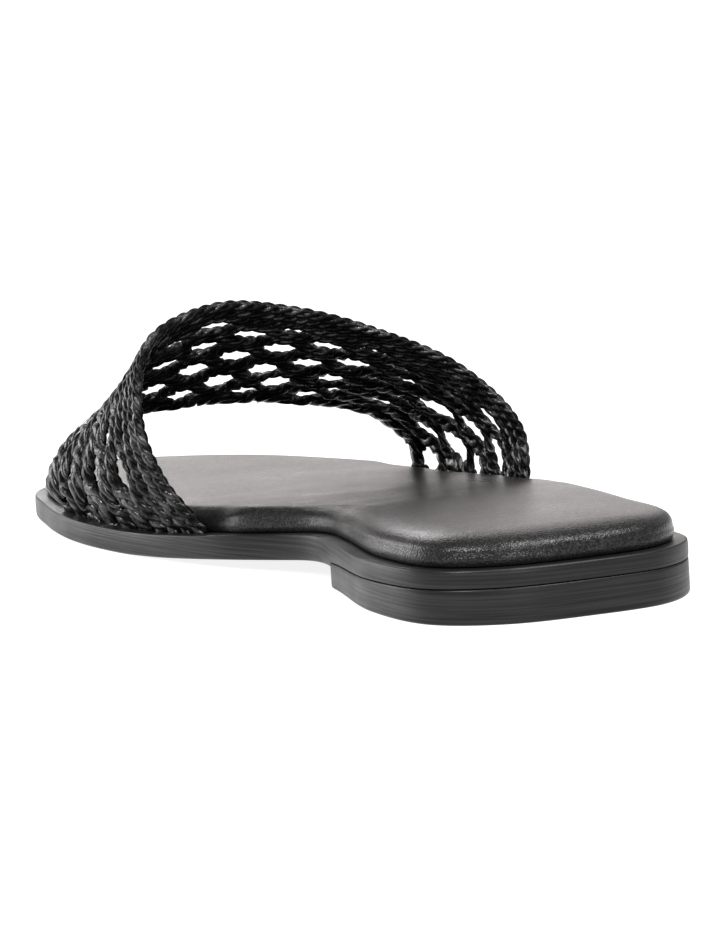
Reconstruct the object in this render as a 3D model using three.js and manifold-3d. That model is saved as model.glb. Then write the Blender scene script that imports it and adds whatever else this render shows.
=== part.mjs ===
import * as THREE from 'three';
import { mergeVertices } from 'three/addons/utils/BufferGeometryUtils.js';
import Module from 'manifold-3d';

// Slide sandal for a right foot, in millimetres: +Y to the toe, +X to the outer side, +Z up.
const soleLength = 255;
const ballWidth = 95;
const heelHeight = 12;          // ground to the rim at the back of the heel
const foreHeight = 5.7;         // ground to the rim at the ball
const archHeight = 4.6;         // ground to the underside just ahead of the heel
const toeSpring = 1;
const breastPlace = 76;         // back of the shoe to the front face of the heel
const heelSheet = 4;            // thickness of the sole sheet over the heel, at the back
const breastSheet = 5;          // and at the breast, where the heel block is let in
const soleEdge = 0.8;           // rounding of the sole's lower edges
const rimEdge = 0.4;            // rounding of the rim and of the seam's lips
const clearance = 0.3;          // between pieces that meet

const ledge = 3;                // width of bare rim round the footbed
const insoleHeight = 6;         // thickness of the footbed at the waist
const insoleEdge = 3;           // rounding of its upper edge
const insoleFoot = 0.6;         // rounding of its lower edge

const bandHeight = 60;          // ground to the top of the band
const bandInset = 4.4;          // rim to the middle of the band's wall, where it comes up
const cordWidth = 2.4;          // of a single cord, where gaps lie on both its sides
const cordHeight = 2.8;         // thickness of the wall along a cord's crest
const seamHeight = 1.2;         // thickness of the wall between two cords
const plyRise = 0.3;            // rise and fall of a crest with the twist of the cord
const footWall = 1.8;           // thickness of the wall where it meets the rim
const marginWall = 1.2;         // thickness of the margin turned in under the footbed
const marginWidth = 7;
const footLean = 0.7;           // room on either side of the foot for the lean of the wall

// Rim seen from above, from the middle of the heel round the inner side to the toe and back
const outlineRows = [
  { across: -0.003, along: 0 },
  { across: -0.194, along: 0.011 },
  { across: -0.326, along: 0.054 },
  { across: -0.357, along: 0.152 },
  { across: -0.295, along: 0.282 },
  { across: -0.269, along: 0.363 },
  { across: -0.387, along: 0.483 },
  { across: -0.469, along: 0.63 },
  { across: -0.493, along: 0.741 },
  { across: -0.457, along: 0.862 },
  { across: -0.384, along: 0.957 },
  { across: -0.208, along: 1 },
  { across: -0.002, along: 0.983 },
  { across: 0.214, along: 0.922 },
  { across: 0.381, along: 0.818 },
  { across: 0.483, along: 0.686 },
  { across: 0.506, along: 0.559 },
  { across: 0.466, along: 0.424 },
  { across: 0.408, along: 0.288 },
  { across: 0.36, along: 0.153 },
  { across: 0.322, along: 0.054 },
  { across: 0.198, along: 0.007 },
];

// Side view of the sole: how much of the heel's extra height, of the arch and of the toe
// spring is there at each place along the shoe
const sideRows = [
  { along: 0, fall: 1, arch: 1, spring: 0 },
  { along: 0.118, fall: 0.932, arch: 1, spring: 0 },
  { along: 0.235, fall: 0.869, arch: 1, spring: 0 },
  { along: 0.294, fall: 0.833, arch: 1, spring: 0 },
  { along: 0.353, fall: 0.736, arch: 0.905, spring: 0 },
  { along: 0.412, fall: 0.558, arch: 0.697, spring: 0 },
  { along: 0.471, fall: 0.397, arch: 0.511, spring: 0 },
  { along: 0.529, fall: 0.213, arch: 0.294, spring: 0 },
  { along: 0.588, fall: 0.071, arch: 0.102, spring: 0 },
  { along: 0.647, fall: 0, arch: 0, spring: 0 },
  { along: 0.765, fall: 0, arch: 0, spring: 0 },
  { along: 0.824, fall: 0, arch: 0, spring: 0.12 },
  { along: 0.882, fall: 0, arch: 0, spring: 0.38 },
  { along: 0.941, fall: 0, arch: 0, spring: 0.66 },
  { along: 1, fall: 0, arch: 0, spring: 1 },
];

// Thickness of the footbed along the shoe, as shares of its thickness at the waist
const insoleRows = [
  { along: 0, full: 0.92 },
  { along: 0.3, full: 0.97 },
  { along: 0.45, full: 1 },
  { along: 0.65, full: 0.85 },
  { along: 1, full: 0.7 },
];

// Rear and front edges of the band, from the inner side over the foot to the outer side:
// across as shares of the ball width, along of the length, up of the band's height
const bandRows = [
  { rearAcross: -0.373, rearAlong: 0.508, rearUp: 0.16, foreAcross: -0.417, foreAlong: 0.825, foreUp: 0.095 },
  { rearAcross: -0.45, rearAlong: 0.534, rearUp: 0.352, foreAcross: -0.486, foreAlong: 0.809, foreUp: 0.212 },
  { rearAcross: -0.482, rearAlong: 0.552, rearUp: 0.583, foreAcross: -0.471, foreAlong: 0.801, foreUp: 0.327 },
  { rearAcross: -0.434, rearAlong: 0.561, rearUp: 0.875, foreAcross: -0.376, foreAlong: 0.796, foreUp: 0.45 },
  { rearAcross: -0.253, rearAlong: 0.564, rearUp: 0.988, foreAcross: -0.203, foreAlong: 0.786, foreUp: 0.478 },
  { rearAcross: -0.068, rearAlong: 0.546, rearUp: 0.953, foreAcross: 0.004, foreAlong: 0.773, foreUp: 0.487 },
  { rearAcross: 0.138, rearAlong: 0.523, rearUp: 0.837, foreAcross: 0.194, foreAlong: 0.758, foreUp: 0.453 },
  { rearAcross: 0.328, rearAlong: 0.495, rearUp: 0.665, foreAcross: 0.343, foreAlong: 0.742, foreUp: 0.395 },
  { rearAcross: 0.433, rearAlong: 0.464, rearUp: 0.425, foreAcross: 0.43, foreAlong: 0.725, foreUp: 0.255 },
  { rearAcross: 0.413, rearAlong: 0.446, rearUp: 0.15, foreAcross: 0.408, foreAlong: 0.719, foreUp: 0.13 },
];

// Seams between neighbouring cords: place across the band as a share of its width, the
// shares of the way round where its gaps lie, and how far each gap opens, as a share of the
// room that its two cords leave
const seamRows = [
  { place: 0.065, at: [], opens: [] },
  { place: 0.13, at: [], opens: [] },
  {
    place: 0.205,
    at: [0.05, 0.17, 0.3, 0.42, 0.55, 0.67, 0.87],
    opens: [0.2, 0.3, 0.5, 0.8, 0.6, 0.6, 0.8],
  },
  {
    place: 0.285,
    at: [0.11, 0.23, 0.36, 0.48, 0.61, 0.73, 0.83, 0.94],
    opens: [0.8, 0.3, 0.7, 0.8, 0.8, 0.5, 0.5, 0.9],
  },
  {
    place: 0.395,
    at: [0.05, 0.17, 0.3, 0.42, 0.55, 0.67, 0.77, 0.89],
    opens: [0.3, 0.5, 0.6, 0.6, 0.8, 0.8, 0.5, 0.7],
  },
  {
    place: 0.5,
    at: [0.11, 0.23, 0.36, 0.48, 0.61, 0.73, 0.85, 0.95],
    opens: [0.3, 0.4, 0.7, 0.8, 0.8, 0.4, 1, 0.5],
  },
  {
    place: 0.62,
    at: [0.05, 0.17, 0.3, 0.42, 0.55, 0.67, 0.8, 0.92],
    opens: [0.6, 0.3, 0.6, 0.8, 0.8, 0.7, 0.3, 0.85],
  },
  {
    place: 0.75,
    at: [0.11, 0.23, 0.36, 0.48, 0.6, 0.7, 0.8, 0.89],
    opens: [0.3, 0.4, 0.8, 0.9, 0.9, 0.5, 0.6, 0.6],
  },
  {
    place: 0.865,
    at: [0.05, 0.17, 0.3, 0.42, 0.55, 0.67, 0.8, 0.95],
    opens: [0.4, 0.3, 0.6, 0.7, 0.6, 0.8, 0.4, 0.7],
  },
];
const gapShape = [1, 0.85, 0.4];  // opening of a gap at its middle and at each column away from it

const rubberColour = 0x17171a;
const footbedColour = 0x1b1b1d;
const cordColour = 0x0e0e10;

const outlineSteps = 110;
const bandColumns = 64;
const footColumns = 6;          // over which the wall grows from its foot to its full thickness

const wasm = await Module();
wasm.setup();

// A column of a table at a place along the shoe, smooth and without overshoot
function tableAt(rows, column, along) {
  const last = rows.length - 1;
  const secant = (i) => (rows[i + 1][column] - rows[i][column]) / (rows[i + 1].along - rows[i].along);
  const slope = (i) => {
    if (i === 0) return secant(0);
    if (i === last) return secant(last - 1);
    const before = secant(i - 1);
    const after = secant(i);
    return before * after <= 0 ? 0 : (2 * before * after) / (before + after);
  };
  const place = THREE.MathUtils.clamp(along, 0, 1);
  let i = 0;
  while (i < last - 1 && rows[i + 1].along < place) i += 1;
  const span = rows[i + 1].along - rows[i].along;
  const t = (place - rows[i].along) / span;
  const blend = t * t * (3 - 2 * t);
  return rows[i][column] * (1 - blend) + rows[i + 1][column] * blend
    + span * (slope(i) * t * (1 - t) ** 2 - slope(i + 1) * t * t * (1 - t));
}

function rimAt(y) {
  const along = y / soleLength;
  return foreHeight + (heelHeight - foreHeight) * tableAt(sideRows, 'fall', along)
    + toeSpring * tableAt(sideRows, 'spring', along);
}

function undersideAt(y) {
  const along = y / soleLength;
  return archHeight * tableAt(sideRows, 'arch', along) + toeSpring * tableAt(sideRows, 'spring', along);
}

// Underside of the sole sheet over the heel block
function seatAt(y) {
  const forward = THREE.MathUtils.clamp(y / breastPlace, 0, 1);
  return rimAt(y) - heelSheet - (breastSheet - heelSheet) * forward ** 2;
}

function insoleAt(y) {
  return insoleHeight * tableAt(insoleRows, 'full', y / soleLength);
}

const outline = new THREE.CatmullRomCurve3(
  outlineRows.map((row) => new THREE.Vector3(row.across * ballWidth, row.along * soleLength, 0)),
  true,
  'centripetal',
);

// Point of the rim, drawn in by a distance square to it
function rimPoint(t, inset) {
  const point = outline.getPoint(t);
  const run = outline.getTangent(t);
  return new THREE.Vector3(point.x + inset * run.y, point.y - inset * run.x, 0);
}

// Share of the way round the rim where it passes a place along the shoe, on either side
function rimShare(y, side) {
  const toe = 0.5;
  let low = side < 0 ? 0 : 1;
  let high = toe;
  for (let i = 0; i < 30; i += 1) {
    const middle = (low + high) / 2;
    if (outline.getPoint(middle).y < y) low = middle;
    else high = middle;
  }
  return (low + high) / 2;
}

function solidOf(points, triangles) {
  const geometry = new THREE.BufferGeometry().setFromPoints(points);
  geometry.setIndex(triangles);
  const merged = mergeVertices(geometry, 1e-4);
  return new wasm.Manifold(new wasm.Mesh({
    numProp: 3,
    vertProperties: new Float32Array(merged.attributes.position.array),
    triVerts: new Uint32Array(merged.index.array),
  }));
}

// Closed body through rings that follow the rim, from the middle of its underside out, up
// its side and in again over its top
function slab(rings, crossSteps) {
  const count = outlineSteps;
  const half = count / 2;
  const points = [];
  const triangles = [];
  rings.forEach((ring) => {
    for (let i = 0; i < count; i += 1) {
      const point = rimPoint(i / count, ring.inset);
      point.z = ring.height(point.y);
      points.push(point);
    }
  });
  for (let r = 0; r < rings.length - 1; r += 1) {
    for (let i = 0; i < count; i += 1) {
      const next = (i + 1) % count;
      const low = r * count;
      const high = low + count;
      triangles.push(low + i, high + i, high + next, low + i, high + next, low + next);
    }
  }
  const cap = (ringIndex, up) => {
    const first = ringIndex * count;
    const height = rings[ringIndex].height;
    const row = (i) => {
      if (i === 0 || i === half) return [first + i];
      const left = points[first + i];
      const right = points[first + count - i];
      const cells = [first + i];
      for (let k = 1; k < crossSteps; k += 1) {
        const point = left.clone().lerp(right, k / crossSteps);
        point.z = height(point.y);
        points.push(point);
        cells.push(points.length - 1);
      }
      cells.push(first + count - i);
      return cells;
    };
    const face = (a, b, c) => (up ? triangles.push(a, b, c) : triangles.push(a, c, b));
    let behind = row(0);
    for (let i = 1; i <= half; i += 1) {
      const ahead = row(i);
      for (let k = 0; k < crossSteps; k += 1) {
        const nearLeft = behind[Math.min(k, behind.length - 1)];
        const nearRight = behind[Math.min(k + 1, behind.length - 1)];
        const farLeft = ahead[Math.min(k, ahead.length - 1)];
        const farRight = ahead[Math.min(k + 1, ahead.length - 1)];
        if (nearLeft !== nearRight) face(nearLeft, nearRight, farRight);
        if (farLeft !== farRight) face(nearLeft, farRight, farLeft);
      }
      behind = ahead;
    }
  };
  cap(0, false);
  cap(rings.length - 1, true);
  return solidOf(points, triangles);
}

// Closed body through rings of equally many points, its two ends flat or nearly so
function loft(sections) {
  const sides = sections[0].length;
  const points = sections.flat();
  const triangles = [];
  for (let s = 0; s < sections.length - 1; s += 1) {
    for (let i = 0; i < sides; i += 1) {
      const near = s * sides + i;
      const beside = s * sides + ((i + 1) % sides);
      triangles.push(near, beside, beside + sides, near, beside + sides, near + sides);
    }
  }
  const last = (sections.length - 1) * sides;
  for (let i = 1; i < sides - 1; i += 1) {
    triangles.push(0, i + 1, i, last, last + i, last + i + 1);
  }
  return solidOf(points, triangles);
}

// Block as wide as the whole shoe from the floor of its stations up to a height along them
function blockUnder(stations, heightAt) {
  return loft(stations.map((y) => [
    new THREE.Vector3(-ballWidth, y, -soleLength),
    new THREE.Vector3(-ballWidth, y, heightAt(y)),
    new THREE.Vector3(ballWidth, y, heightAt(y)),
    new THREE.Vector3(ballWidth, y, -soleLength),
  ]));
}

function makeHeel() {
  const top = (y) => seatAt(y) - clearance;
  const block = slab([
    { inset: soleEdge, height: () => 0 },
    { inset: 0, height: () => soleEdge },
    { inset: 0, height: (y) => top(y) - rimEdge },
    { inset: rimEdge, height: top },
  ], 2);
  const behindBreast = loft([-ballWidth, breastPlace].map((y) => [
    new THREE.Vector3(-ballWidth, y, -ballWidth),
    new THREE.Vector3(-ballWidth, y, ballWidth),
    new THREE.Vector3(ballWidth, y, ballWidth),
    new THREE.Vector3(ballWidth, y, -ballWidth),
  ]));
  return block.intersect(behindBreast);
}

function makeOutsole() {
  const sheet = slab([
    { inset: soleEdge, height: undersideAt },
    { inset: 0, height: (y) => undersideAt(y) + soleEdge },
    { inset: 0, height: (y) => rimAt(y) - rimEdge },
    { inset: rimEdge, height: rimAt },
  ], 2);
  const seatSteps = 12;
  const stations = Array.from({ length: seatSteps + 1 }, (_, i) => (
    -soleEdge + ((breastPlace + clearance + soleEdge) * i) / seatSteps
  ));
  return sheet.subtract(blockUnder(stations, seatAt));
}

function makeInsole() {
  const base = (y) => rimAt(y) + clearance;
  const arcSteps = 3;
  const rings = [
    { inset: ledge + insoleFoot, height: base },
    { inset: ledge, height: (y) => base(y) + insoleFoot },
  ];
  for (let i = 0; i <= arcSteps; i += 1) {
    const angle = (Math.PI / 2) * (i / arcSteps);
    rings.push({
      inset: ledge + insoleEdge * (1 - Math.cos(angle)),
      height: (y) => base(y) + insoleAt(y) - insoleEdge * (1 - Math.sin(angle)),
    });
  }
  return slab(rings, 2);
}

const bandCurve = (edge) => new THREE.CatmullRomCurve3(
  bandRows.map((row) => new THREE.Vector3(
    row[`${edge}Across`] * ballWidth,
    row[`${edge}Along`] * soleLength,
    row[`${edge}Up`] * bandHeight,
  )),
  false,
  'centripetal',
);
const rearEdge = bandCurve('rear');
const foreEdge = bandCurve('fore');

// Where the wall comes up from the rim: y at a share across the band, on either side
function footPlace(side, across) {
  const end = side < 0 ? 0 : 1;
  return THREE.MathUtils.lerp(rearEdge.getPointAt(end).y, foreEdge.getPointAt(end).y, across);
}

// Point beside the rim below or above its ledge, at a share across the band
function footPoint(side, across, inset, rise) {
  const y = footPlace(side, across);
  const point = rimPoint(rimShare(y, side), inset);
  point.z = rimAt(point.y) + rise;
  return point;
}

const footFade = 0.3;           // share of the way round over which the feet's curve fades
const marginColumns = [
  { inset: 0, rise: 0, half: footWall / 2, tip: 0 },
  { inset: 0.1, rise: -0.5 * marginWall, half: 0.4 * footWall, tip: 0.6 },
  { inset: 1.4, rise: -0.5 * marginWall, half: marginWall / 2, tip: 1 },
  { inset: marginWidth, rise: -0.5 * marginWall, half: marginWall / 2, tip: 1 },
];

// Middle of the wall at a share of the way round and a share across
function wallPoint(round, across) {
  const point = rearEdge.getPointAt(round).lerp(foreEdge.getPointAt(round), across);
  [-1, 1].forEach((side) => {
    const end = side < 0 ? 0 : 1;
    const away = Math.abs(round - end) / footFade;
    if (away >= 1) return;
    const foot = footPoint(side, across, bandInset, 0);
    const plain = rearEdge.getPointAt(end).lerp(foreEdge.getPointAt(end), across);
    point.add(foot.sub(plain).multiplyScalar((1 - away) ** 2));
  });
  return point;
}

function wallNormal(round, across) {
  const step = 0.004;
  const ahead = wallPoint(Math.min(round + step, 1), across);
  const back = wallPoint(Math.max(round - step, 0), across);
  const front = wallPoint(round, Math.min(across + step, 1));
  const rear = wallPoint(round, Math.max(across - step, 0));
  return ahead.sub(back).cross(front.sub(rear)).normalize();
}

// Half the opening of a seam at a column of the band, as a share of the band's width
function openingAt(index, column, bandWidth) {
  const seam = seamRows[index];
  const before = index > 0 ? seamRows[index - 1].place : 0;
  const after = index < seamRows.length - 1 ? seamRows[index + 1].place : 1;
  const room = Math.min(seam.place - before, after - seam.place) - cordWidth / bandWidth;
  const lastPlace = bandColumns - gapShape.length;
  let open = 0;
  seam.opens.forEach((share, i) => {
    const middle = Math.min(Math.round(seam.at[i] * bandColumns), lastPlace);
    const away = Math.abs(column - middle);
    if (away < gapShape.length) open = Math.max(open, share * room * gapShape[away]);
  });
  return open;
}

// The lines that run along the band at one column: edges, crests and seams, each with its
// share across and half the wall's thickness there
function bandLines(column) {
  const round = THREE.MathUtils.clamp(column / bandColumns, 0, 1);
  const width = rearEdge.getPointAt(round).distanceTo(foreEdge.getPointAt(round));
  const twist = (column % 2 === 0 ? 1 : -1) * plyRise;
  const lines = [{ across: -twist / width, half: seamHeight / 2 }];
  let upper = 0;
  seamRows.forEach((seam, index) => {
    const open = openingAt(index, column, width);
    lines.push({ across: (upper + seam.place - open) / 2, half: cordHeight / 2 + twist });
    lines.push({ across: seam.place - open, half: seamHeight / 2, lower: seam.place + open, open: open > 0 });
    upper = seam.place + open;
  });
  lines.push({ across: (upper + 1) / 2, half: cordHeight / 2 + twist });
  lines.push({ across: 1 + twist / width, half: seamHeight / 2 });
  return lines;
}

function makeUpper() {
  const points = [];
  const triangles = [];
  const quad = (a, b, c, d) => triangles.push(a, b, c, a, c, d);
  const keep = (point) => points.push(point) - 1;
  const pair = (middle, normal, half) => ({
    outer: keep(middle.clone().addScaledVector(normal, half)),
    inner: keep(middle.clone().addScaledVector(normal, -half)),
  });

  // A column over the foot, where the wall thins to its foot near both ends
  const wallColumn = (column) => {
    const round = column / bandColumns;
    const nearEnd = Math.min(column, bandColumns - column) / footColumns;
    const full = THREE.MathUtils.smoothstep(nearEnd, 0, 1);
    const at = (across, half) => pair(
      wallPoint(round, across),
      wallNormal(round, THREE.MathUtils.clamp(across, 0, 1)),
      THREE.MathUtils.lerp(footWall / 2, half, full),
    );
    return bandLines(column).map((line) => {
      const upper = at(line.across, line.half);
      const lower = line.open ? at(line.lower, line.half) : upper;
      return { upper, lower, open: Boolean(line.open) };
    });
  };

  // A column of the margin, turned down at the rim and in under the footbed
  const marginColumn = (side, step) => {
    const part = marginColumns[step];
    return bandLines(side < 0 ? 0 : bandColumns).map((line) => {
      const across = THREE.MathUtils.clamp(line.across, 0, 1);
      const middle = footPoint(side, across, bandInset + part.inset, part.rise);
      const share = rimShare(footPlace(side, across), side);
      const normal = rimPoint(share, 0).sub(rimPoint(share, 1)).multiplyScalar(1 - part.tip);
      normal.z = -part.tip;
      const upper = pair(middle, normal.normalize(), part.half);
      return { upper, lower: upper, open: false };
    });
  };

  const columns = [];
  for (let step = marginColumns.length - 1; step > 0; step -= 1) columns.push(marginColumn(-1, step));
  for (let column = 0; column <= bandColumns; column += 1) columns.push(wallColumn(column));
  for (let step = 1; step < marginColumns.length; step += 1) columns.push(marginColumn(1, step));

  for (let c = 0; c < columns.length - 1; c += 1) {
    const here = columns[c];
    const next = columns[c + 1];
    const last = here.length - 1;
    for (let k = 0; k < last; k += 1) {
      const a = here[k].lower;
      const b = next[k].lower;
      const d = here[k + 1].upper;
      const e = next[k + 1].upper;
      quad(a.outer, b.outer, e.outer, d.outer);
      quad(a.inner, d.inner, e.inner, b.inner);
    }
    const first = [here[0].upper, next[0].upper];
    const end = [here[last].upper, next[last].upper];
    quad(first[0].inner, first[1].inner, first[1].outer, first[0].outer);
    quad(end[0].outer, end[1].outer, end[1].inner, end[0].inner);
    for (let k = 1; k < last; k += 1) {
      if (here[k].open || next[k].open) {
        const u = [here[k].upper, next[k].upper];
        const l = [here[k].lower, next[k].lower];
        quad(u[0].outer, u[1].outer, u[1].inner, u[0].inner);
        quad(l[0].inner, l[1].inner, l[1].outer, l[0].outer);
      }
    }
  }
  const closeEnd = (lines, back) => {
    for (let k = 0; k < lines.length - 1; k += 1) {
      const a = lines[k].upper;
      const b = lines[k + 1].upper;
      if (back) quad(a.outer, b.outer, b.inner, a.inner);
      else quad(a.outer, a.inner, b.inner, b.outer);
    }
  };
  closeEnd(columns[0], true);
  closeEnd(columns[columns.length - 1], false);
  return solidOf(points, triangles);
}

// Space beside the rim over the stretch of one foot of the band, between two insets and
// two heights from the ledge
function footSpace(side, insets, rises) {
  const steps = 14;
  const over = 0.02;              // room past both edges of the band, as a share of its width
  const sections = [];
  for (let i = 0; i <= steps; i += 1) {
    const across = -over + (1 + 2 * over) * (i / steps);
    const corner = (inset, rise) => footPoint(side, across, inset, rise);
    const ring = [
      corner(insets[0], rises[0]),
      corner(insets[0], rises[1]),
      corner(insets[1], rises[1]),
      corner(insets[1], rises[0]),
    ];
    sections.push(side < 0 ? ring : ring.reverse());
  }
  return loft(sections);
}

function meshOf(name, solid, colour, roughness) {
  const data = solid.getMesh();
  const geometry = new THREE.BufferGeometry();
  geometry.setAttribute('position', new THREE.BufferAttribute(Float32Array.from(data.vertProperties), 3));
  geometry.setIndex(Array.from(data.triVerts));
  geometry.computeVertexNormals();
  const material = new THREE.MeshStandardMaterial({ color: colour, roughness, metalness: 0 });
  const mesh = new THREE.Mesh(geometry, material);
  mesh.name = name;
  return mesh;
}

let outsole = makeOutsole();
let insole = makeInsole();
[-1, 1].forEach((side) => {
  const rimSide = bandInset - footWall / 2 - clearance - footLean;
  const wallInside = bandInset + footWall / 2 + clearance + footLean;
  const marginEnd = bandInset + marginWidth + clearance;
  outsole = outsole.subtract(footSpace(side, [rimSide, marginEnd], [-marginWall - clearance, heelHeight]));
  insole = insole.subtract(footSpace(side, [-ledge, wallInside], [-heelHeight, bandHeight]));
});

const slide = new THREE.Group();
slide.add(
  meshOf('outsole', outsole, rubberColour, 0.55),
  meshOf('heel', makeHeel(), rubberColour, 0.55),
  meshOf('insole', insole, footbedColour, 0.45),
  meshOf('upper', makeUpper(), cordColour, 0.25),
);

// The origin lies on the ground under the middle of the whole shoe
const box = new THREE.Box3().setFromObject(slide);
const centre = box.getCenter(new THREE.Vector3());
slide.position.set(-centre.x, -centre.y, -box.min.z);

export default slide;
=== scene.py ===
import math
import random

import bpy
import numpy as np
from mathutils import Matrix, Vector


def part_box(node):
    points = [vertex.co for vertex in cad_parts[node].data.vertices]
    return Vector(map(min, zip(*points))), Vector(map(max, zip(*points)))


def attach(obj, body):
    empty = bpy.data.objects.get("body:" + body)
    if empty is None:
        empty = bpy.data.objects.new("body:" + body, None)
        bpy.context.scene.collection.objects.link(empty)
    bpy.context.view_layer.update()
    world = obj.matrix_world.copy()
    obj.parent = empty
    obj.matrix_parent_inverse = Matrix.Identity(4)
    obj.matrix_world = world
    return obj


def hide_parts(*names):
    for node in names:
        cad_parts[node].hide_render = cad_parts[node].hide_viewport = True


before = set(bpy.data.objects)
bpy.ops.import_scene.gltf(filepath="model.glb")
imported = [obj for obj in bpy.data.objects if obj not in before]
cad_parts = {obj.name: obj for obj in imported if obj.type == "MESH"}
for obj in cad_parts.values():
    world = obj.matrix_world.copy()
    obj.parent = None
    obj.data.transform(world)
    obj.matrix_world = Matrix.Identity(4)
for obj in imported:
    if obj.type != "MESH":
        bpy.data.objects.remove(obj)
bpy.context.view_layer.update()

# Braided slide, right foot. Shapes are worked out in millimetres with the back of the heel at
# y = 0, the toe along +y and the outer side along +x, then set down on the frame in metres.
mm = 0.001

shoe = {
    "soleLength": 255, "ballWidth": 95, "heelHeight": 12, "foreHeight": 5.7,
    "archHeight": 4.6, "toeSpring": 1, "breastPlace": 76, "heelSheet": 4, "breastSheet": 5,
}

# rim seen from above, from the middle of the heel round the inner side to the toe and back
outlineTable = {
    "across": [-0.003, -0.194, -0.326, -0.357, -0.295, -0.269, -0.387, -0.469, -0.493, -0.457, -0.384,
               -0.208, -0.002, 0.214, 0.381, 0.483, 0.506, 0.466, 0.408, 0.36, 0.322, 0.198],
    "along": [0, 0.011, 0.054, 0.152, 0.282, 0.363, 0.483, 0.63, 0.741, 0.862, 0.957,
              1, 0.983, 0.922, 0.818, 0.686, 0.559, 0.424, 0.288, 0.153, 0.054, 0.007],
}

# side view: what is left of the heel's extra height, the arch and the toe spring
sideTable = {
    "along": [0, 0.118, 0.235, 0.294, 0.353, 0.412, 0.471, 0.529,
              0.588, 0.647, 0.765, 0.824, 0.882, 0.941, 1],
    "fall": [1, 0.932, 0.869, 0.833, 0.736, 0.558, 0.397, 0.213, 0.071, 0, 0, 0, 0, 0, 0],
    "arch": [1, 1, 1, 1, 0.905, 0.697, 0.511, 0.294, 0.102, 0, 0, 0, 0, 0, 0],
    "spring": [0, 0, 0, 0, 0, 0, 0, 0, 0, 0, 0, 0.12, 0.38, 0.66, 1],
}


def tableAt(table, column, along):
    # a column of a table at places along the shoe, smooth and without overshoot
    x = np.array(table["along"], float)
    y = np.array(table[column], float)
    secant = np.diff(y) / np.diff(x)
    before, after = secant[:-1], secant[1:]
    total = np.where(before + after == 0, 1, before + after)
    inner = np.where(before * after <= 0, 0, 2 * before * after / total)
    slope = np.concatenate([secant[:1], inner, secant[-1:]])
    place = np.clip(np.asarray(along, float), 0, 1)
    i = np.clip(np.searchsorted(x, place) - 1, 0, len(x) - 2)
    span = x[i + 1] - x[i]
    t = (place - x[i]) / span
    blend = t * t * (3 - 2 * t)
    return (y[i] * (1 - blend) + y[i + 1] * blend
            + span * (slope[i] * t * (1 - t) ** 2 - slope[i + 1] * t * t * (1 - t)))


def rimHeight(y):
    along = np.asarray(y, float) / shoe["soleLength"]
    extra = shoe["heelHeight"] - shoe["foreHeight"]
    return (shoe["foreHeight"] + extra * tableAt(sideTable, "fall", along)
            + shoe["toeSpring"] * tableAt(sideTable, "spring", along))


def undersideHeight(y):
    along = np.asarray(y, float) / shoe["soleLength"]
    return (shoe["archHeight"] * tableAt(sideTable, "arch", along)
            + shoe["toeSpring"] * tableAt(sideTable, "spring", along))


def seatHeight(y):
    # underside of the sole sheet over the heel block
    forward = np.clip(np.asarray(y, float) / shoe["breastPlace"], 0, 1)
    return rimHeight(y) - shoe["heelSheet"] - (shoe["breastSheet"] - shoe["heelSheet"]) * forward ** 2


def smoothCurve(points, closed, perSpan):
    # centripetal curve through given points, evenly stepped between each pair
    pts = np.array(points, float)
    count = len(pts)
    spans = count if closed else count - 1
    out = []
    for s in range(spans):
        if closed:
            p = [pts[(s + k) % count] for k in (-1, 0, 1, 2)]
        else:
            first = pts[s - 1] if s > 0 else 2 * pts[0] - pts[1]
            last = pts[s + 2] if s + 2 < count else 2 * pts[-1] - pts[-2]
            p = [first, pts[s], pts[s + 1], last]
        d = [max(np.linalg.norm(p[k + 1] - p[k]) ** 0.5, 1e-6) for k in range(3)]
        t1 = ((p[1] - p[0]) / d[0] - (p[2] - p[0]) / (d[0] + d[1]) + (p[2] - p[1]) / d[1]) * d[1]
        t2 = ((p[2] - p[1]) / d[1] - (p[3] - p[1]) / (d[1] + d[2]) + (p[3] - p[2]) / d[2]) * d[1]
        for k in range(perSpan):
            u = k / perSpan
            out.append(p[1] + t1 * u + (3 * (p[2] - p[1]) - 2 * t1 - t2) * u * u
                       + (2 * (p[1] - p[2]) + t1 + t2) * u ** 3)
    if not closed:
        out.append(pts[-1])
    return np.array(out)


def byLength(curve, count):
    # the same curve with evenly spaced points
    run = np.concatenate([[0], np.cumsum(np.linalg.norm(np.diff(curve, axis=0), axis=1))])
    even = np.linspace(0, run[-1], count)
    return np.stack([np.interp(even, run, curve[:, k]) for k in range(curve.shape[1])], 1)


rimSteps = 20   # mesh steps between two points of the outline table
rimCurve = smoothCurve(
    [(a * shoe["ballWidth"], l * shoe["soleLength"])
     for a, l in zip(outlineTable["across"], outlineTable["along"])],
    True, rimSteps)
rimCount = len(rimCurve)
rimTangent = np.roll(rimCurve, -1, 0) - np.roll(rimCurve, 1, 0)
rimTangent /= np.linalg.norm(rimTangent, axis=1)[:, None]
rimInward = np.stack([rimTangent[:, 1], -rimTangent[:, 0]], 1)
toeIndex = rimCount // 2

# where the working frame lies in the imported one
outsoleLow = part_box("outsole")[0] / mm
frameShift = np.array([outsoleLow.x - rimCurve[:, 0].min(), outsoleLow.y - rimCurve[:, 1].min(), 0])


def rimRing(inset):
    # the rim drawn in by a distance, which may change round it
    return rimCurve + rimInward * np.broadcast_to(np.asarray(inset, float), (rimCount,))[:, None]


def makeObject(name, points, faces, material):
    mesh = bpy.data.meshes.new(name)
    placed = (np.asarray(points, float) + frameShift) * mm
    mesh.from_pydata(placed.tolist(), [], faces)
    mesh.validate()
    mesh.polygons.foreach_set("use_smooth", [True] * len(mesh.polygons))
    mesh.materials.append(material)
    mesh.update()
    piece = bpy.data.objects.new(name, mesh)
    bpy.context.scene.collection.objects.link(piece)
    return piece


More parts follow.
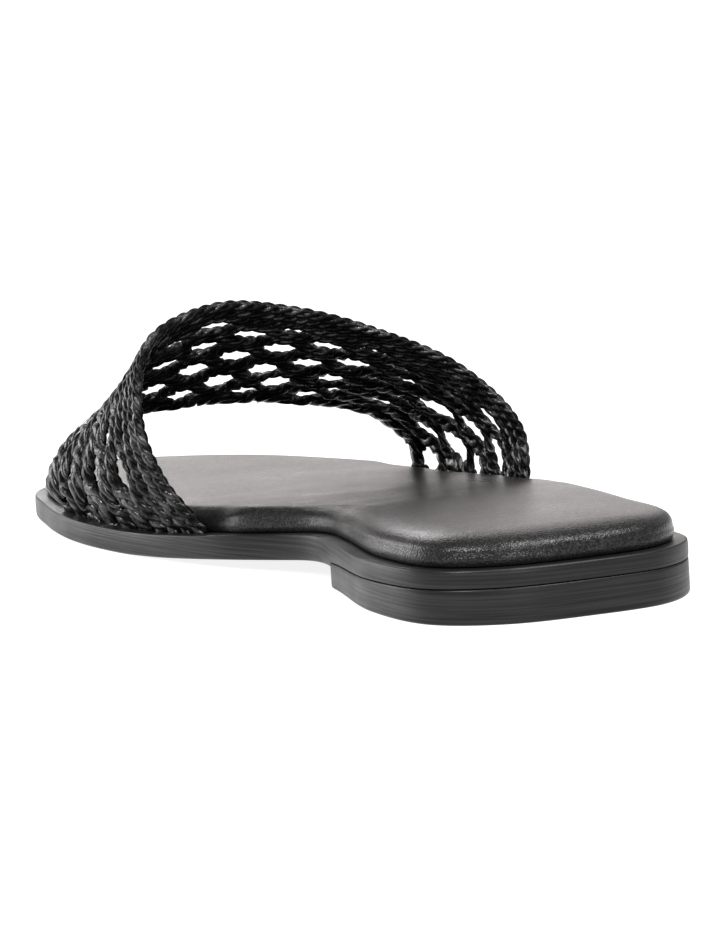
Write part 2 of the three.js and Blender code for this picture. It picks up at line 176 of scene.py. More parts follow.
def quadStrip(low, high, count):
    # faces between two closed rings of the same count, facing out of a clockwise outline
    return [(low + i, high + i, high + (i + 1) % count, low + (i + 1) % count) for i in range(count)]


def ringSlab(rings, shares, topHeight=None):
    # points and faces through rings round the rim, closed across the foot below and above at
    # shares of the way over; a ring is its inset and its height along the shoe
    points, faces = [], []
    for inset, height in rings:
        flat = rimRing(inset)
        z = height(flat[:, 1]) if callable(height) else np.broadcast_to(height, (rimCount,))
        points.extend(np.column_stack([flat, z]).tolist())
    for r in range(len(rings) - 1):
        faces += quadStrip(r * rimCount, (r + 1) * rimCount, rimCount)
    for ring, up in ((0, False), (len(rings) - 1, True)):
        first = ring * rimCount

        def rowAt(i):
            if i in (0, toeIndex):
                return [first + i]
            left = np.array(points[first + i])
            right = np.array(points[first + rimCount - i])
            cells = [first + i]
            spots = left * (1 - shares[1:-1, None]) + right * shares[1:-1, None]
            if up and topHeight is not None:
                spots[:, 2] = topHeight(spots)
            for spot in spots.tolist():
                points.append(spot)
                cells.append(len(points) - 1)
            cells.append(first + rimCount - i)
            return cells

        behind = rowAt(0)
        for i in range(1, toeIndex + 1):
            ahead = rowAt(i)
            for k in range(len(shares) - 1):
                corner = [behind[min(k, len(behind) - 1)], behind[min(k + 1, len(behind) - 1)],
                          ahead[min(k + 1, len(ahead) - 1)], ahead[min(k, len(ahead) - 1)]]
                kept = list(dict.fromkeys(corner))
                if len(kept) > 2:
                    faces.append(kept if up else kept[::-1])
            behind = ahead
    return points, faces


# Materials

def linear(hexColour):
    # an sRGB hex colour as the linear values a shader takes
    parts = [int(hexColour[i:i + 2], 16) / 255 for i in (1, 3, 5)]
    return [c / 12.92 if c <= 0.04045 else ((c + 0.055) / 1.055) ** 2.4 for c in parts] + [1]


def addNode(tree, kind, settings=None, links=None):
    # one node with its settings; a key with a capital is a socket, links name where inputs come from
    node = tree.nodes.new(kind)
    for key, value in (settings or {}).items():
        if isinstance(key, int) or key[0].isupper():
            node.inputs[key].default_value = value
        else:
            setattr(node, key, value)
    for key, source in (links or {}).items():
        tree.links.new(source, node.inputs[key])
    return node


def placeOn(tree, turn=(0.6, 0.4, 0.3)):
    # where a point of the surface lies, turned so that no layer of a texture runs along a face
    place = addNode(tree, "ShaderNodeNewGeometry")
    turned = addNode(tree, "ShaderNodeMapping", {"Location": (0.21, 0.33, 0.17), "Rotation": turn},
                     {"Vector": place.outputs["Position"]})
    return turned.outputs["Vector"]


def newMaterial(name, surface):
    material = bpy.data.materials.new(name)
    material.use_nodes = True
    tree = material.node_tree
    tree.nodes.clear()
    shader = addNode(tree, "ShaderNodeBsdfPrincipled", surface)
    output = addNode(tree, "ShaderNodeOutputMaterial")
    tree.links.new(shader.outputs["BSDF"], output.inputs["Surface"])
    return material, tree, shader


polymerIor = 1.5
noiseSpan = (0.3, 0.7)   # most of a noise texture lies between these values


def noise(tree, place, scale, detail):
    texture = addNode(tree, "ShaderNodeTexNoise", {"Scale": scale, "Detail": detail}, {"Vector": place})
    return texture.outputs["Fac"]


def addShare(tree, value, share, total):
    # a share of one value added to another
    node = addNode(tree, "ShaderNodeMath", {"operation": "MULTIPLY_ADD", 1: share}, {0: value, 2: total})
    return node.outputs[0]


def setRelief(tree, shader, height, strength, depth, invert=False):
    # the small relief of a surface, with its depth in millimetres
    bump = addNode(tree, "ShaderNodeBump",
                   {"Strength": strength, "Distance": depth * mm, "invert": invert}, {"Height": height})
    tree.links.new(bump.outputs["Normal"], shader.inputs["Normal"])


def setSpread(tree, shader, socket, value, span, ends):
    # one input of the surface, which goes from end to end as a texture goes through its span
    spread = addNode(tree, "ShaderNodeMapRange",
                     {"From Min": span[0], "From Max": span[1], "To Min": ends[0], "To Max": ends[1]},
                     {"Value": value})
    tree.links.new(spread.outputs[0], shader.inputs[socket])


def setTone(tree, shader, patch, low, high):
    # the base colour, between two colours by patches
    tone = addNode(tree, "ShaderNodeMix", {"data_type": "RGBA", 6: linear(low), 7: linear(high)}, {0: patch})
    tree.links.new(tone.outputs[2], shader.inputs["Base Color"])


rubberLook = {
    "colour": "#0a0a0b", "scuff": "#121213", "rough": (0.32, 0.46),
    "lineSpacing": 0.5,   # mm between the fine level lines of the mould, uneven as tool marks are
    "lineRun": 0.015,     # how much slower the lines change along the side than up it
    "lineDepth": 0.14, "relief": 0.6,
    "grainSize": 0.35, "grainShare": 0.25,   # mm, and its share in the relief beside the lines
    "patchScale": 60.0,   # patches to the metre
    "shine": (0.17, 0.37),   # in the lines and between them
}


def mouldedRubber():
    # moulded rubber: satin black, fine level lines from the tool and a faint dusty variation
    look = rubberLook
    material, tree, shader = newMaterial("mouldedRubber", {"IOR": polymerIor})
    place = placeOn(tree)
    level = addNode(tree, "ShaderNodeMapping", {"Scale": (look["lineRun"], look["lineRun"], 1)},
                    {"Vector": placeOn(tree, (0, 0, 0))})
    lines = noise(tree, level.outputs["Vector"], 1 / (look["lineSpacing"] * mm), 1.0)
    grain = noise(tree, place, 1 / (look["grainSize"] * mm), 3.0)
    patch = noise(tree, place, look["patchScale"], 4.0)
    height = addShare(tree, grain, look["grainShare"], lines)
    setRelief(tree, shader, height, look["relief"], look["lineDepth"])
    setSpread(tree, shader, "Specular IOR Level", lines, noiseSpan, look["shine"])
    setSpread(tree, shader, "Roughness", patch, noiseSpan, look["rough"])
    setTone(tree, shader, patch, look["colour"], look["scuff"])
    return material


footbedLook = {
    "colour": "#0e0d0d", "worn": "#151414", "rough": (0.27, 0.32),
    "pebble": 0.42,   # mm across one pebble of the grain
    "pebbleSoft": 0.6, "pebbleUneven": 0.9, "pebbleDepth": 0.1, "relief": 0.8,
    "poreSize": 0.3, "poreShare": 0.3,
    "wearSize": 1.4, "wearShare": 0.9, "patchScale": 60.0,
    "filmSpan": (0.65, 1.25), "shine": (0.57, 0.17),   # of the film, on top of the pebbles and between them
}


def coatedLeather():
    # coated leather over foam: fine even pebble grain with a semi-gloss film on it
    look = footbedLook
    material, tree, shader = newMaterial("coatedLeather", {"IOR": polymerIor})
    place = placeOn(tree)
    cells = addNode(tree, "ShaderNodeTexVoronoi",
                    {"feature": "SMOOTH_F1", "Scale": 1 / (look["pebble"] * mm),
                     "Smoothness": look["pebbleSoft"], "Randomness": look["pebbleUneven"]},
                    {"Vector": place})
    pores = noise(tree, place, 1 / (look["poreSize"] * mm), 2.0)
    level = addShare(tree, pores, look["poreShare"], cells.outputs["Distance"])
    wear = noise(tree, place, 1 / (look["wearSize"] * mm), 2.0)
    film = addShare(tree, wear, look["wearShare"], level)
    patch = noise(tree, place, look["patchScale"], 3.0)
    setRelief(tree, shader, level, look["relief"], look["pebbleDepth"], True)
    setSpread(tree, shader, "Specular IOR Level", film, look["filmSpan"], look["shine"])
    setSpread(tree, shader, "Roughness", patch, noiseSpan, look["rough"])
    setTone(tree, shader, patch, look["colour"], look["worn"])
    return material


cordLook = {
    "colour": "#060606", "edge": "#0c0c0c", "rough": (0.17, 0.28),
    "creaseSize": 1.5,   # mm between the small creases of the coating
    "creaseDepth": 0.45, "relief": 0.7,
    "patchScale": 240.0, "shineSpan": (0.45, 0.65),
    "shine": (0.06, 0.6),   # where the coating is dulled and where it is whole
}


def glossyCord():
    # cord sheathed in coated leather: near black, glossy, slightly creased where it twists
    look = cordLook
    material, tree, shader = newMaterial("coatedCord", {"IOR": polymerIor})
    place = placeOn(tree)
    crease = noise(tree, place, 1 / (look["creaseSize"] * mm), 3.0)
    patch = noise(tree, place, look["patchScale"], 2.0)
    setRelief(tree, shader, crease, look["relief"], look["creaseDepth"])
    setSpread(tree, shader, "Specular IOR Level", patch, look["shineSpan"], look["shine"])
    setSpread(tree, shader, "Roughness", patch, noiseSpan, look["rough"])
    setTone(tree, shader, patch, look["colour"], look["edge"])
    return material


rubber = mouldedRubber()
leather = coatedLeather()
cordCoat = glossyCord()
print("materials made")


# Sole sheet

sheet = {
    "edge": 0.9, "seamEdge": 0.3, "rimRound": 0.5, "edgeSteps": 4, "bulge": 0.1, "crossSteps": 8,
    "edgeChange": 3,   # mm over which the rounding of the lower edge changes at the breast
    "stepRun": 0.5,    # mm over which the underside steps up to the seat there
}


def roundedSide(low, high, lowRound, highRound, steps, bulge):
    # rings up a side that is rounded below and above and stands proud a little between; the
    # lower rounding is given for every point of the rim
    rings = []
    y = rimCurve[:, 1]
    for i in range(steps + 1):
        angle = math.pi / 2 * i / steps
        rings.append((lowRound * (1 - math.sin(angle)), low(y) + lowRound * (1 - math.cos(angle))))
    for share in (0.2, 0.5, 0.8):
        height = (low(y) + lowRound) * (1 - share) + (high(y) - highRound) * share
        rings.append((-bulge * 4 * share * (1 - share), height))
    for i in range(steps + 1):
        angle = math.pi / 2 * i / steps
        rings.append((highRound * (1 - math.cos(angle)), high(y) - highRound * (1 - math.sin(angle))))
    return rings


def soleUnder(y):
    # the sheet's underside: the arch and the ball, and over the heel block the seat
    blend = np.clip((np.asarray(y, float) - shoe["breastPlace"]) / sheet["stepRun"] + 0.5, 0, 1)
    return seatHeight(y) * (1 - blend) + undersideHeight(y) * blend


def makeSoleSheet():
    overHeel = np.clip((shoe["breastPlace"] - rimCurve[:, 1]) / sheet["edgeChange"] + 0.5, 0, 1)
    lowRound = sheet["edge"] + (sheet["seamEdge"] - sheet["edge"]) * overHeel
    rings = roundedSide(soleUnder, rimHeight, lowRound, sheet["rimRound"],
                        sheet["edgeSteps"], sheet["bulge"])
    points, faces = ringSlab(rings, np.linspace(0, 1, sheet["crossSteps"] + 1))
    piece = makeObject("soleSheet", points, faces, rubber)
    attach(piece, "root")
    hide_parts("outsole")


makeSoleSheet()
print("sole sheet made")


# Heel block

heel = {"edge": 0.7, "topRound": 0.4, "edgeSteps": 4, "arcPoints": 220, "breastPoints": 30, "seam": 0.12}


def heelRing(inset, z):
    # the rim behind the breast, closed by the straight breast, drawn in by a distance
    flat = rimRing(inset)
    cut = shoe["breastPlace"] - inset
    order = np.concatenate([np.arange(toeIndex, rimCount), np.arange(0, toeIndex)])
    loop = flat[order]
    inside = np.nonzero(loop[:, 1] <= cut)[0]
    first, last = inside[0], inside[-1]

    def crossing(a, b):
        share = (cut - a[1]) / (b[1] - a[1])
        return a + (b - a) * share

    arc = np.vstack([crossing(loop[first - 1], loop[first]), loop[first:last + 1],
                     crossing(loop[last], loop[last + 1])])
    arc = byLength(arc, heel["arcPoints"])
    share = np.linspace(0, 1, heel["breastPoints"] + 2)[1:-1, None]
    breast = arc[-1] * (1 - share) + arc[0] * share
    ring = np.vstack([arc, breast])
    height = z(ring[:, 1]) if callable(z) else np.full(len(ring), float(z))
    return np.column_stack([ring, height])


def makeHeelBlock():
    top = lambda y: seatHeight(y) - heel["seam"]
    rings = []
    for i in range(heel["edgeSteps"] + 1):
        angle = math.pi / 2 * i / heel["edgeSteps"]
        rings.append(heelRing(heel["edge"] * (1 - math.sin(angle)), heel["edge"] * (1 - math.cos(angle))))
    for share in (0.25, 0.5, 0.75):
        rings.append(heelRing(
            0, lambda y, s=share: heel["edge"] * (1 - s) + (top(y) - heel["topRound"]) * s))
    for i in range(heel["edgeSteps"] + 1):
        angle = math.pi / 2 * i / heel["edgeSteps"]
        rings.append(heelRing(heel["topRound"] * (1 - math.cos(angle)),
                              lambda y, a=angle: top(y) - heel["topRound"] * (1 - math.sin(a))))
    count = len(rings[0])
    points = np.vstack(rings)
    faces = []
    for r in range(len(rings) - 1):
        faces += quadStrip(r * count, (r + 1) * count, count)
    faces.append(list(range(count)))
    faces.append([(len(rings) - 1) * count + i for i in range(count)][::-1])
    piece = makeObject("heelBlock", points, faces, rubber)
    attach(piece, "root")
    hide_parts("heel")


makeHeelBlock()
print("heel block made")


# Band over the foot: the same wall as the frame's; each list has one value for each section of an edge

band = {
    "height": 60, "inset": 4.4, "footFade": 0.3, "columns": 64,
    "cordWidth": 2.1,
    "gapReach": (1.2, 1.2),   # columns from a gap's middle to its end: when shut, and added when full
    "endColumns": 3,          # the last columns, where no gap has its middle
    "edgeSteps": 60, "edgePoints": 601,
    "probe": 0.004,           # share of the way to each side over which the wall's lean is taken
}
bandTable = {
    "rearAcross": [-0.373, -0.45, -0.482, -0.434, -0.253, -0.068, 0.138, 0.328, 0.433, 0.413],
    "rearAlong": [0.508, 0.534, 0.552, 0.561, 0.564, 0.546, 0.523, 0.495, 0.464, 0.446],
    "rearUp": [0.16, 0.352, 0.583, 0.875, 0.988, 0.953, 0.837, 0.665, 0.425, 0.15],
    "foreAcross": [-0.417, -0.486, -0.471, -0.376, -0.203, 0.004, 0.194, 0.343, 0.43, 0.408],
    "foreAlong": [0.825, 0.809, 0.801, 0.796, 0.786, 0.773, 0.758, 0.742, 0.725, 0.719],
    "foreUp": [0.095, 0.212, 0.327, 0.45, 0.478, 0.487, 0.453, 0.395, 0.255, 0.13],
}
# seams between cords: place across the band, where its gaps lie round it, and how far each opens
seamTable = [
    {"place": 0.065, "at": [], "opens": []},
    {"place": 0.13, "at": [], "opens": []},
    {"place": 0.205, "at": [0.05, 0.17, 0.3, 0.42, 0.55, 0.67, 0.87],
     "opens": [0.2, 0.3, 0.5, 0.8, 0.6, 0.6, 0.8]},
    {"place": 0.285, "at": [0.11, 0.23, 0.36, 0.48, 0.61, 0.73, 0.83, 0.94],
     "opens": [0.8, 0.3, 0.7, 0.8, 0.8, 0.5, 0.5, 0.9]},
    {"place": 0.395, "at": [0.05, 0.17, 0.3, 0.42, 0.55, 0.67, 0.77, 0.89],
     "opens": [0.3, 0.5, 0.6, 0.6, 0.8, 0.8, 0.5, 0.7]},
    {"place": 0.5, "at": [0.11, 0.23, 0.36, 0.48, 0.61, 0.73, 0.85, 0.95],
     "opens": [0.3, 0.4, 0.7, 0.8, 0.8, 0.4, 1, 0.5]},
    {"place": 0.62, "at": [0.05, 0.17, 0.3, 0.42, 0.55, 0.67, 0.8, 0.92],
     "opens": [0.6, 0.3, 0.6, 0.8, 0.8, 0.7, 0.3, 0.85]},
    {"place": 0.75, "at": [0.11, 0.23, 0.36, 0.48, 0.6, 0.7, 0.8, 0.89],
     "opens": [0.3, 0.4, 0.8, 0.9, 0.9, 0.5, 0.6, 0.6]},
    {"place": 0.865, "at": [0.05, 0.17, 0.3, 0.42, 0.55, 0.67, 0.8, 0.95],
     "opens": [0.4, 0.3, 0.6, 0.7, 0.6, 0.8, 0.4, 0.7]},
]


def bandEdge(edge):
    sizes = (shoe["ballWidth"], shoe["soleLength"], band["height"])
    parts = ("Across", "Along", "Up")
    columns = [np.array(bandTable[edge + part]) * size for part, size in zip(parts, sizes)]
    return byLength(smoothCurve(np.column_stack(columns), False, band["edgeSteps"]), band["edgePoints"])


rearEdge = bandEdge("rear")
foreEdge = bandEdge("fore")


def along(curve, share):
    # points of an evenly spaced curve at shares of its length
    spot = np.clip(share, 0, 1) * (len(curve) - 1)
    return np.stack([np.interp(spot, np.arange(len(curve)), curve[:, k]) for k in range(3)], -1)


def footPoint(side, across, inset):
    # beside the rim, under a place across the band, on the inner (-1) or outer (1) side
    end = 0 if side < 0 else 1
    y = along(rearEdge, end)[1] * (1 - across) + along(foreEdge, end)[1] * across
    half = np.arange(0, toeIndex + 1) if side < 0 else np.arange(rimCount, toeIndex - 1, -1)
    index = np.interp(y, rimCurve[half % rimCount, 1], half)
    ring = rimRing(inset)
    wrapped = np.vstack([ring, ring[:1]])
    x = np.interp(index, np.arange(rimCount + 1), wrapped[:, 0])
    yIn = np.interp(index, np.arange(rimCount + 1), wrapped[:, 1])
    return np.stack([x, yIn, rimHeight(yIn)], -1)


def wallPoint(way, across):
    # middle of the band's wall at shares of the way round and across
    way = np.asarray(way, float)
    across = np.broadcast_to(np.asarray(across, float), way.shape)
    rear, fore = along(rearEdge, way), along(foreEdge, way)
    point = rear * (1 - across[..., None]) + fore * across[..., None]
    for side, end in ((-1, 0), (1, 1)):
        away = np.clip(np.abs(way - end) / band["footFade"], 0, 1)
        plain = (along(rearEdge, np.full(way.shape, end)) * (1 - across[..., None])
                 + along(foreEdge, np.full(way.shape, end)) * across[..., None])
        foot = footPoint(side, across, band["inset"])
        point = point + (foot - plain) * ((1 - away) ** 2)[..., None]
    return point


def wallNormal(way, across):
    step = band["probe"]
    ahead = wallPoint(np.minimum(way + step, 1), across) - wallPoint(np.maximum(way - step, 0), across)
    over = wallPoint(way, np.minimum(across + step, 1)) - wallPoint(way, np.maximum(across - step, 0))
    normal = np.cross(ahead, over)
    return normal / np.linalg.norm(normal, axis=-1)[..., None]


def bandWidth(way):
    return np.linalg.norm(along(rearEdge, way) - along(foreEdge, way), axis=-1)


def opening(index, way):
    # half the opening of a seam along the band, as a share of its width
    seam = seamTable[index]
    before = seamTable[index - 1]["place"] if index else 0
    after = seamTable[index + 1]["place"] if index < len(seamTable) - 1 else 1
    room = min(seam["place"] - before, after - seam["place"]) - band["cordWidth"] / bandWidth(way)
    column = way * band["columns"]
    opened = np.zeros_like(way)
    for i, share in enumerate(seam["opens"]):
        middle = min(round(seam["at"][i] * band["columns"]), band["columns"] - band["endColumns"])
        reach = band["gapReach"][0] + band["gapReach"][1] * share
        shape = np.sqrt(np.clip(1 - ((column - middle) / reach) ** 2, 0, 1))
        opened = np.maximum(opened, share * room * shape)
    return opened


# Cords: each is three plies twisted round a flat core, and fills the place between its seams

cord = {
    "plies": 3,
    "layRear": 8.5, "layFore": 11.5,   # mm for one full turn of the plies, at the two edges of the band
    "leastWidth": 2.5, "step": 0.62, "sides": 8, "sink": 0.8,
    "roundness": 0.7, "leastThick": 2.1, "mostThick": 2.7,
    "plyShare": 0.56,  # of half the cord that one ply's radius takes
    "coreThick": 1.3, "coreSides": 6,
    "lap": 0.3,        # mm by which the plies pass the middle of a shut seam
    "coreGive": 0.2,   # mm by which the core stays behind the plies beside a gap or an edge
    "edgeGive": 0.15,  # mm by which the outermost plies stay inside the band's own edges
    "knot": 9,         # mm between places where a ply swells or the twist tightens by chance
    "swell": 0.1, "tighten": 0.14,
    "chanceEase": 5,   # steps on each side over which that chance is smoothed
    "coreLap": 0.05,   # mm by which the core passes the middle of a shut seam
    "sideEase": 3,     # steps on each side over which a cord's own edges are smoothed
    "seed": 7,
}


def tube(centres, alongB, alongN, radiusB, radiusN, sides):
    # a closed tube of oval section through centres; the two directions span its section
    count = len(centres)
    angle = np.linspace(0, 2 * math.pi, sides, endpoint=False)
    ring = (centres[:, None] + alongB[:, None] * (radiusB[:, None] * np.cos(angle))[..., None]
            + alongN[:, None] * (radiusN[:, None] * np.sin(angle))[..., None])
    points = ring.reshape(-1, 3)
    faces = []
    for s in range(count - 1):
        for i in range(sides):
            j = (i + 1) % sides
            faces.append((s * sides + i, s * sides + j, (s + 1) * sides + j, (s + 1) * sides + i))
    faces.append(tuple(range(sides))[::-1])
    faces.append(tuple((count - 1) * sides + i for i in range(sides)))
    return points, faces


def smoothed(values, width):
    kernel = np.hanning(width * 2 + 1)
    kernel /= kernel.sum()
    padded = np.pad(values, width, mode="edge")
    return np.convolve(padded, kernel, mode="valid")


def byChance(shuffle, count, run):
    # a smooth random run between -1 and 1 along a cord
    knots = [shuffle.uniform(-1, 1) for _ in range(int(run / cord["knot"]) + 2)]
    rough = np.interp(np.linspace(0, len(knots) - 1, count), range(len(knots)), knots)
    return smoothed(rough, cord["chanceEase"])


def cordSide(index, toward, way, width, shutLap, openGive):
    # one side of a cord, as a share across the band: toward is -1 for its rear and 1 for its front
    if index < 0 or index == len(seamTable):
        edge = np.full(way.shape, 0.0 if index < 0 else 1.0)
        return edge - toward * (openGive + cord["edgeGive"]) / width
    opened = opening(index, way)
    away = np.where(opened > 0, opened + openGive / width, -shutLap / width)
    return seamTable[index]["place"] - toward * away


def cordSides(k, way, width, shutLap, openGive):
    # the rear and the front side of a cord, smoothed
    return [smoothed(cordSide(index, toward, way, width, shutLap, openGive), cord["sideEase"])
            for index, toward in ((k - 1, -1), (k, 1))]


def makeCords():
    shuffle = random.Random(cord["seed"])
    points, faces = [], []
    longest = max(np.linalg.norm(np.diff(rearEdge, axis=0), axis=1).sum(),
                  np.linalg.norm(np.diff(foreEdge, axis=0), axis=1).sum())
    count = int(longest / cord["step"])
    way = np.linspace(0, 1, count)
    width = bandWidth(way)
    for k in range(len(seamTable) + 1):
        rear, front = cordSides(k, way, width, cord["lap"], 0)
        coreRear, coreFront = cordSides(k, way, width, cord["coreLap"], cord["coreGive"])
        across = (rear + front) / 2
        wide = np.maximum((front - rear) * width, cord["leastWidth"])
        thick = np.clip(wide * cord["roundness"], cord["leastThick"], cord["mostThick"])
        coreShift = ((coreRear + coreFront) / 2 - across) * width
        coreWide = np.maximum((coreFront - coreRear) * width, cord["coreThick"])
        centre = wallPoint(way, across)
        normal = wallNormal(way, across)
        run = np.gradient(centre, axis=0)
        run /= np.linalg.norm(run, axis=1)[:, None]
        beside = np.cross(normal, run)
        beside /= np.linalg.norm(beside, axis=1)[:, None]
        length = np.concatenate([[0], np.cumsum(np.linalg.norm(np.diff(centre, axis=0), axis=1))])
        middle = across.mean()
        lay = cord["layRear"] * (1 - middle) + cord["layFore"] * middle
        pace = 1 + cord["tighten"] * byChance(shuffle, count, longest)
        turned = np.concatenate([[0], np.cumsum(np.diff(length) * pace[1:])]) * 2 * math.pi / lay
        start = shuffle.uniform(0, 2 * math.pi)
        strands = [(centre + beside * coreShift[:, None], coreWide / 2,
                    np.full(count, cord["coreThick"] / 2), cord["coreSides"])]
        for ply in range(cord["plies"]):
            turn = start + 2 * math.pi * ply / cord["plies"] - turned
            swell = 1 + cord["swell"] * byChance(shuffle, count, longest)
            radiusB = wide / 2 * cord["plyShare"] * swell
            radiusN = thick / 2 * cord["plyShare"] * swell
            offB = (wide / 2 - radiusB) * np.cos(turn)
            offN = (thick / 2 - radiusN) * np.sin(turn)
            line = centre + beside * offB[:, None] + normal * offN[:, None]
            strands.append((line, radiusB, radiusN, cord["sides"]))
        for line, radiusB, radiusN, sides in strands:
            line = line.copy()
            for end in (0, -1):
                line[end, 2] -= cord["sink"]
            tubePoints, tubeFaces = tube(line, beside, normal, radiusB, radiusN, sides)
            base = len(points)
            points.extend(tubePoints.tolist())
            faces.extend([tuple(base + i for i in face) for face in tubeFaces])
    piece = makeObject("bandCords", points, faces, cordCoat)
    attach(piece, "root")
    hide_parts("upper")


makeCords()
print("band cords made")


# Footbed: a padded board wrapped in leather, pressed in where the band comes up beside it

footbed = {
    "ledge": 3, "pressed": 2.7, "height": 6, "crown": 0.5, "crownReach": 22, "sideBulge": 0.3,
    "lowRound": 0.7, "lowSteps": 3, "acrossSteps": 56, "fade": 14,
    "gap": 0.05, "glue": 0.3,   # mm over the sheet at which the pad begins, and from which its height counts
    "tightest": 3,              # mm across which the outer side is rounded at the least
    "ridge": 0.4,   # mm by which the inner edge stands up at the crease where its rounding begins
    "ridgeWide": 1.1, "ridgeFrom": 70, "ridgeFade": 30,
    "outerTight": 0.55, "outerFrom": 26,   # how much less the outer side is rounded, and from how far out
}
# thickness of the pad, and how far its upper edge is rounded across and down: soft at the heel;
# fullness of the rounding is 2 for an ellipse and more for a squarer one
footbedTable = {
    "along": [0, 0.1, 0.2, 0.3, 0.35, 0.4, 0.45, 0.65, 1],
    "full": [1.06, 1.1, 1.09, 0.99, 0.9, 0.87, 0.89, 0.82, 0.7],
    "roundAcross": [11, 11, 10.5, 8, 5.5, 3.6, 3, 3, 3],
    "roundDown": [3.9, 3.9, 3.8, 3.4, 3, 2.8, 2.6, 2.4, 2],
    "fullness": [2.5, 2.5, 2.4, 2.2, 2, 1.8, 1.8, 2, 2],
}


def footbedAt(column, y):
    return tableAt(footbedTable, column, np.asarray(y, float) / shoe["soleLength"])


def footbedEdge(y):
    # where the rounding of the pad's upper edge begins
    thick = footbed["height"] * footbedAt("full", y)
    return rimHeight(y) + footbed["glue"] + thick - footbedAt("roundDown", y)


def pressedBy():
    # how far the footbed's side is pressed in round the rim
    inward = np.zeros(rimCount)
    index = np.arange(rimCount)
    for side in (-1, 1):
        end = 0 if side < 0 else 1
        low, high = along(rearEdge, end)[1], along(foreEdge, end)[1]
        onSide = index <= toeIndex if side < 0 else index > toeIndex
        y = rimCurve[:, 1]
        behind = np.clip((y - low) / footbed["fade"] + 1, 0, 1)
        ahead = np.clip((high - y) / footbed["fade"] + 1, 0, 1)
        rise = behind * ahead
        inward = np.where(onSide, footbed["pressed"] * rise * rise * (3 - 2 * rise), inward)
    return inward


def makeFootbed():
    inset = footbed["ledge"] + pressedBy()
    edgeRing = rimRing(inset)
    rings = []

    def lowEdge(y, share):
        # up the rounding of the lower edge
        return rimHeight(y) + footbed["gap"] + footbed["lowRound"] * share

    for i in range(footbed["lowSteps"] + 1):
        angle = math.pi / 2 * i / footbed["lowSteps"]
        rings.append((inset + footbed["lowRound"] * (1 - math.sin(angle)),
                      lambda y, s=1 - math.cos(angle): lowEdge(y, s)))
    for share in (0.35, 0.7, 1):
        rings.append((inset - footbed["sideBulge"] * math.sin(math.pi * share),
                      lambda y, s=share: lowEdge(y, 1) * (1 - s) + footbedEdge(y) * s))

    span = np.roll(edgeRing, -1, 0) - edgeRing
    spanSquare = (span ** 2).sum(1)

    def padTop(spots):
        # height over the pad by the distance in from its edge
        offset = spots[:, None, :2] - edgeRing[None]
        share = np.clip((offset * span).sum(2) / spanSquare, 0, 1)
        away = np.sqrt(((offset - share[..., None] * span) ** 2).sum(2)).min(1)
        y = spots[:, 1]
        across, down, power = (footbedAt(column, y) for column in ("roundAcross", "roundDown", "fullness"))
        outward = np.clip(spots[:, 0] / footbed["outerFrom"], 0, 1)
        tight = footbed["outerTight"] * outward * outward * (3 - 2 * outward)
        across = footbed["tightest"] + (across - footbed["tightest"]) * (1 - tight)
        rise = (1 - (1 - np.minimum(away / across, 1)) ** power) ** (1 / power)
        over = np.clip(away / footbed["crownReach"], 0, 1)
        crease = np.exp(-((away - across) / footbed["ridgeWide"]) ** 2)
        crease *= np.clip((y - footbed["ridgeFrom"]) / footbed["ridgeFade"], 0, 1)
        crease *= np.clip(-spots[:, 0] / footbed["ridgeFade"], 0, 1)
        return (footbedEdge(y) + down * rise + footbed["crown"] * over * (2 - over)
                + footbed["ridge"] * crease)

    shares = (1 - np.cos(np.linspace(0, math.pi, footbed["acrossSteps"] + 1))) / 2
    points, faces = ringSlab(rings, shares, padTop)
    piece = makeObject("footbedPad", points, faces, leather)
    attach(piece, "root")
    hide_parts("insole")


makeFootbed()
print("footbed made")


# Camera at the photograph's angle, lights and floor

camera = {
    "place": (-424.225, -873.797, 162.994),   # mm, in the working frame
    "yaw": -0.40387, "pitch": 0.13107, "roll": -0.0635,
    "focal": 4656.02, "centre": (360.99, 465.54), "image": (720, 928), "sensor": 36,
}


def makeCamera():
    yaw, pitch, roll = camera["yaw"], camera["pitch"], camera["roll"]
    forward = Vector((-math.sin(yaw) * math.cos(pitch), math.cos(yaw) * math.cos(pitch), -math.sin(pitch)))
    level = Vector((math.cos(yaw), math.sin(yaw), 0))
    upright = level.cross(forward)
    right = level * math.cos(roll) + upright * math.sin(roll)
    up = upright * math.cos(roll) - level * math.sin(roll)
    data = bpy.data.cameras.new("photoCamera")
    longSide = max(camera["image"])
    data.sensor_width = camera["sensor"]
    data.lens = camera["focal"] / longSide * camera["sensor"]
    data.shift_x = (camera["image"][0] / 2 - camera["centre"][0]) / longSide
    data.shift_y = (camera["centre"][1] - camera["image"][1] / 2) / longSide
    view = bpy.data.objects.new("photoCamera", data)
    place = (np.array(camera["place"]) + frameShift) * mm
    turn = Matrix((right, up, -forward)).transposed().to_4x4()
    view.matrix_world = Matrix.Translation(Vector(place)) @ turn
    bpy.context.scene.collection.objects.link(view)
    bpy.context.scene.camera = view


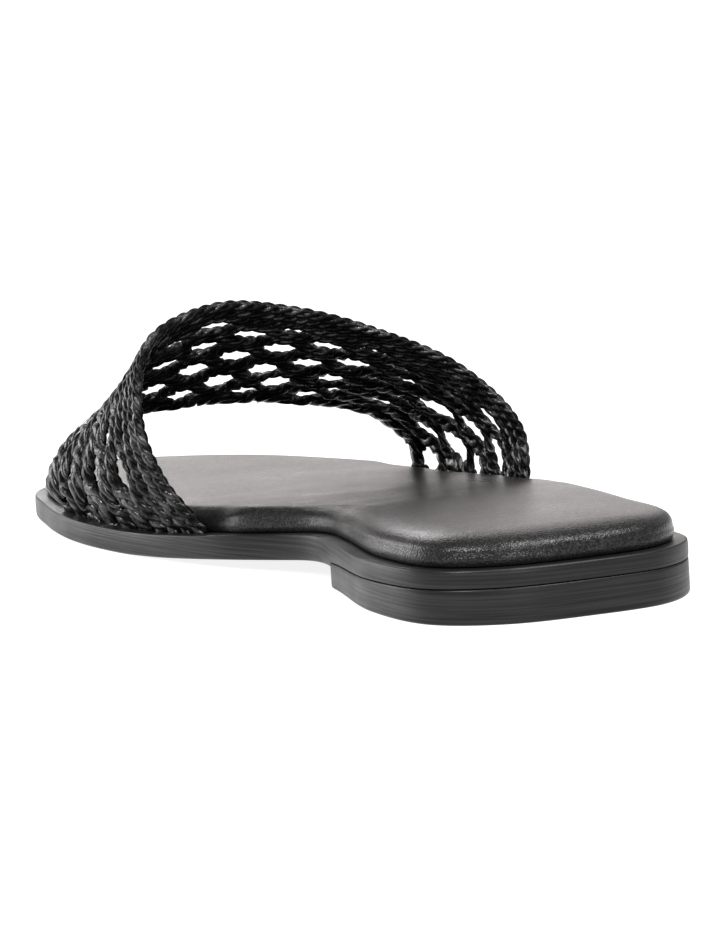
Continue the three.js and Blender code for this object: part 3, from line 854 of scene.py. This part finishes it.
# soft far lights: where each comes from, how strong, how many degrees wide, and any tint
lightTable = [
    {"name": "heelGlow", "from": (0.3, -0.55, 1.25), "strength": 3.4, "spread": 33},
    {"name": "cameraLeft", "from": (-1.6, -0.8, 1.4), "strength": 2.8, "spread": 21},
    {"name": "farSoft", "from": (0.3, 0.92, 0.34), "strength": 0.35, "spread": 40, "colour": "#fff5f3"},
    {"name": "edgeLine", "from": (0.2, 0.9, 0.36), "strength": 0.24, "spread": 10},
    {"name": "cameraLow", "from": (-0.1, -0.9, 0.45), "strength": 1.2, "spread": 20},
    {"name": "farLeft", "from": (-0.5, 0.9, 0.15), "strength": 1.0, "spread": 30},
]
studio = {
    "backdrop": 0.5, "floorHalf": 15, "floorColour": "#8a8a8a",
    "tableGlow": 0.86,   # the floor glows as a light table does, so shadows stay faint on it
}


def makeLights():
    for light in lightTable:
        data = bpy.data.lights.new(light["name"], "SUN")
        data.energy = light["strength"]
        data.angle = math.radians(light["spread"])
        data.color = linear(light.get("colour", "#ffffff"))[:3]
        lamp = bpy.data.objects.new(light["name"], data)
        lamp.rotation_euler = (-Vector(light["from"])).to_track_quat("-Z", "Y").to_euler()
        bpy.context.scene.collection.objects.link(lamp)
    world = bpy.data.worlds.new("studio")
    bpy.context.scene.world = world
    world.use_nodes = True
    backdrop = world.node_tree.nodes["Background"]
    backdrop.inputs["Color"].default_value = (1, 1, 1, 1)
    backdrop.inputs["Strength"].default_value = studio["backdrop"]
    bpy.context.scene.view_settings.view_transform = "Standard"   # a white backdrop stays white


def makeFloor():
    half = studio["floorHalf"]
    corners = [(-half, -half, 0), (half, -half, 0), (half, half, 0), (-half, half, 0)]
    mesh = bpy.data.meshes.new("floor")
    mesh.from_pydata(corners, [], [(0, 1, 2, 3)])
    material, _, shader = newMaterial("paleFloor", {"Roughness": 0.6, "Specular IOR Level": 0.2})
    shader.inputs["Base Color"].default_value = linear(studio["floorColour"])
    shader.inputs["Emission Color"].default_value = linear("#ffffff")
    shader.inputs["Emission Strength"].default_value = studio["tableGlow"]
    mesh.materials.append(material)
    floor = bpy.data.objects.new("floor", mesh)
    bpy.context.scene.collection.objects.link(floor)


makeCamera()
makeLights()
makeFloor()
print("camera, lights and floor made")
